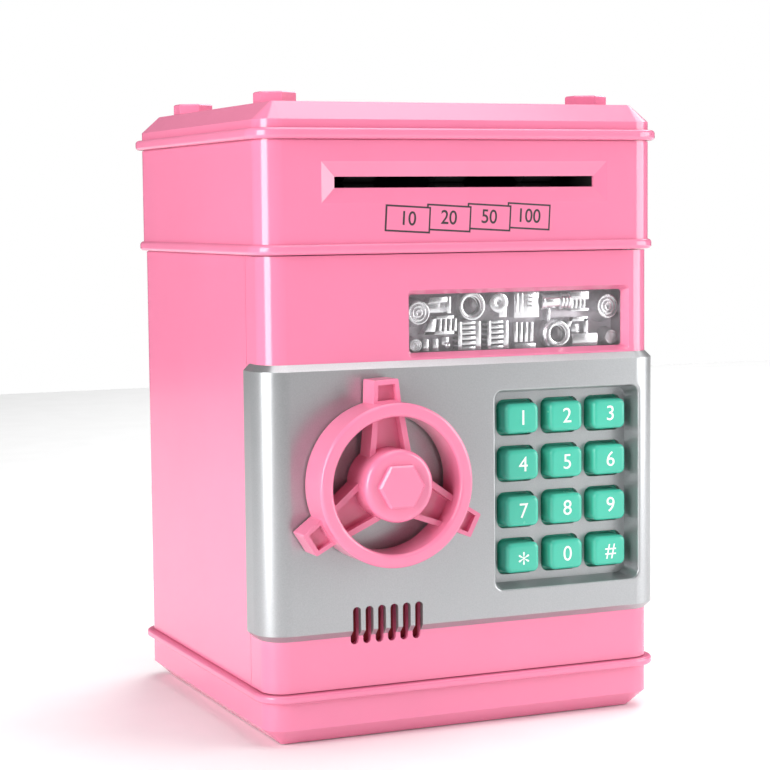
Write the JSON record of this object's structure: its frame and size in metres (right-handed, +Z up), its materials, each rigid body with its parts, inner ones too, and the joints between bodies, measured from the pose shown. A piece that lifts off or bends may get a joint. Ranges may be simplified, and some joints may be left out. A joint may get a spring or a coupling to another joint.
{
  "type": "toy coin bank",
  "caption": "Toy safe coin bank with a hinged front door, keypad, turning wheel lock, banknote slot with motor feed and coin slot.",
  "frame": {"origin": "centre of the base underside", "axes": "+Z up, -Y out of the front door, +X towards the hinge side"},
  "size_m": [0.136, 0.1414, 0.1939],
  "materials": {
    "pink": "glossy injection moulded",
    "satin_silver": "satin silver paint",
    "plated_silver": "bright plating on plastic",
    "clear": "clear",
    "mint_key": "glossy",
    "grey_rubber": "matte",
    "black_rubber": "matte",
    "board": "solder mask",
    "red_cloth": "woven",
    "black_plastic": "matte",
    "steel": "bright",
    "spring_steel": "nickel plated",
    "cell_wrap": "printed sleeve",
    "white_gear": "natural",
    "white_plastic": "natural",
    "ink": "printed",
    "white_print": "printed"
  },
  "bodies": {
    "housing": {"base_screws": "steel", "base_shell": "pink", "battery_contacts": "spring_steel", "body_screws": "steel", "cells": "cell_wrap", "coin_chute": "white_plastic", "feed_frame": "black_plastic", "feed_motor": "steel", "gear_pin": "steel", "hinge_pins": "steel", "lower_shell": "pink", "roof_bolts": "pink", "roof_screws": "steel", "roof_shell": "pink", "upper_shell": "pink"},
    "door": {"door_panel": "pink", "door_cover": "satin_silver", "door_back": "pink", "door_back_screws": "steel", "window_lens": "clear", "machine_relief": "plated_silver", "key_membrane": "grey_rubber", "main_board": "board", "board_screws": "steel", "speaker": "black_plastic", "speaker_cloth": "red_cloth"},
    "wheel": {"wheel_knob": "pink", "wheel_cap": "pink", "wheel_shaft": "white_gear"},
    "latch": {"latch_bolt": "white_gear"},
    "battery_lid": {"battery_cover": "pink", "battery_screw": "steel"},
    "drive_roller": {"drive_shaft": "steel", "drive_tyres": "black_rubber", "roller_gear": "white_gear"},
    "compound": {"compound_gear": "white_gear"},
    "motor_rotor": {"motor_pinion": "white_gear"},
    "idler": {"idler_roller": "black_plastic"},
    "button_0": {"key_0": "mint_key"},
    "button_1": {"key_1": "mint_key"},
    "button_2": {"key_2": "mint_key"},
    "button_3": {"key_3": "mint_key"},
    "button_4": {"key_4": "mint_key"},
    "button_5": {"key_5": "mint_key"},
    "button_6": {"key_6": "mint_key"},
    "button_7": {"key_7": "mint_key"},
    "button_8": {"key_8": "mint_key"},
    "button_9": {"key_9": "mint_key"},
    "button_hash": {"key_hash": "mint_key"},
    "button_star": {"key_star": "mint_key"}
  },
  "joints": [
    {"name": "door_hinge", "type": "hinge", "parent": "housing", "child": "door", "pos_m": [0.062, -0.048, 0.08], "axis": [0, 0, 1], "range_deg": [0, 95]},
    {"name": "wheel_turn", "type": "hinge", "parent": "door", "child": "wheel", "pos_m": [-0.0299, -0.0623, 0.0783], "axis": [0, -1, 0], "range_deg": [0, 75]},
    {"name": "latch_slide", "type": "slide", "parent": "door", "child": "latch", "axis": [1, 0, 0], "range_m": [0, 0.00655]},
    {"name": "press_0", "type": "slide", "parent": "door", "child": "button_0", "axis": [0, 1, 0], "range_m": [0, 0.0012], "stiffness_N_per_m": 400},
    {"name": "press_1", "type": "slide", "parent": "door", "child": "button_1", "axis": [0, 1, 0], "range_m": [0, 0.0012], "stiffness_N_per_m": 400},
    {"name": "press_2", "type": "slide", "parent": "door", "child": "button_2", "axis": [0, 1, 0], "range_m": [0, 0.0012], "stiffness_N_per_m": 400},
    {"name": "press_3", "type": "slide", "parent": "door", "child": "button_3", "axis": [0, 1, 0], "range_m": [0, 0.0012], "stiffness_N_per_m": 400},
    {"name": "press_4", "type": "slide", "parent": "door", "child": "button_4", "axis": [0, 1, 0], "range_m": [0, 0.0012], "stiffness_N_per_m": 400},
    {"name": "press_5", "type": "slide", "parent": "door", "child": "button_5", "axis": [0, 1, 0], "range_m": [0, 0.0012], "stiffness_N_per_m": 400},
    {"name": "press_6", "type": "slide", "parent": "door", "child": "button_6", "axis": [0, 1, 0], "range_m": [0, 0.0012], "stiffness_N_per_m": 400},
    {"name": "press_7", "type": "slide", "parent": "door", "child": "button_7", "axis": [0, 1, 0], "range_m": [0, 0.0012], "stiffness_N_per_m": 400},
    {"name": "press_8", "type": "slide", "parent": "door", "child": "button_8", "axis": [0, 1, 0], "range_m": [0, 0.0012], "stiffness_N_per_m": 400},
    {"name": "press_9", "type": "slide", "parent": "door", "child": "button_9", "axis": [0, 1, 0], "range_m": [0, 0.0012], "stiffness_N_per_m": 400},
    {"name": "press_hash", "type": "slide", "parent": "door", "child": "button_hash", "axis": [0, 1, 0], "range_m": [0, 0.0012], "stiffness_N_per_m": 400},
    {"name": "press_star", "type": "slide", "parent": "door", "child": "button_star", "axis": [0, 1, 0], "range_m": [0, 0.0012], "stiffness_N_per_m": 400},
    {"name": "battery_lid_off", "type": "slide", "parent": "housing", "child": "battery_lid", "axis": [0, 0, -1], "range_m": [0, 0.03]},
    {"name": "drive_roller_spin", "type": "hinge", "parent": "housing", "child": "drive_roller", "pos_m": [0, -0.046, 0.1723], "axis": [1, 0, 0], "continuous": true},
    {"name": "compound_spin", "type": "hinge", "parent": "housing", "child": "compound", "pos_m": [0.05, -0.0316, 0.1723], "axis": [1, 0, 0], "continuous": true},
    {"name": "motor_spin", "type": "hinge", "parent": "housing", "child": "motor_rotor", "pos_m": [0.049, -0.0172, 0.1723], "axis": [1, 0, 0], "continuous": true},
    {"name": "idler_spin", "type": "hinge", "parent": "housing", "child": "idler", "pos_m": [0, -0.046, 0.1625], "axis": [1, 0, 0], "continuous": true}
  ],
  "couplings": [
    {"joint": "latch_slide", "follows": "wheel_turn", "m_per_rad": 0.005},
    {"joint": "compound_spin", "follows": "drive_roller_spin", "ratio": -3},
    {"joint": "motor_spin", "follows": "drive_roller_spin", "ratio": 9},
    {"joint": "idler_spin", "follows": "drive_roller_spin", "ratio": -1.375}
  ]
}
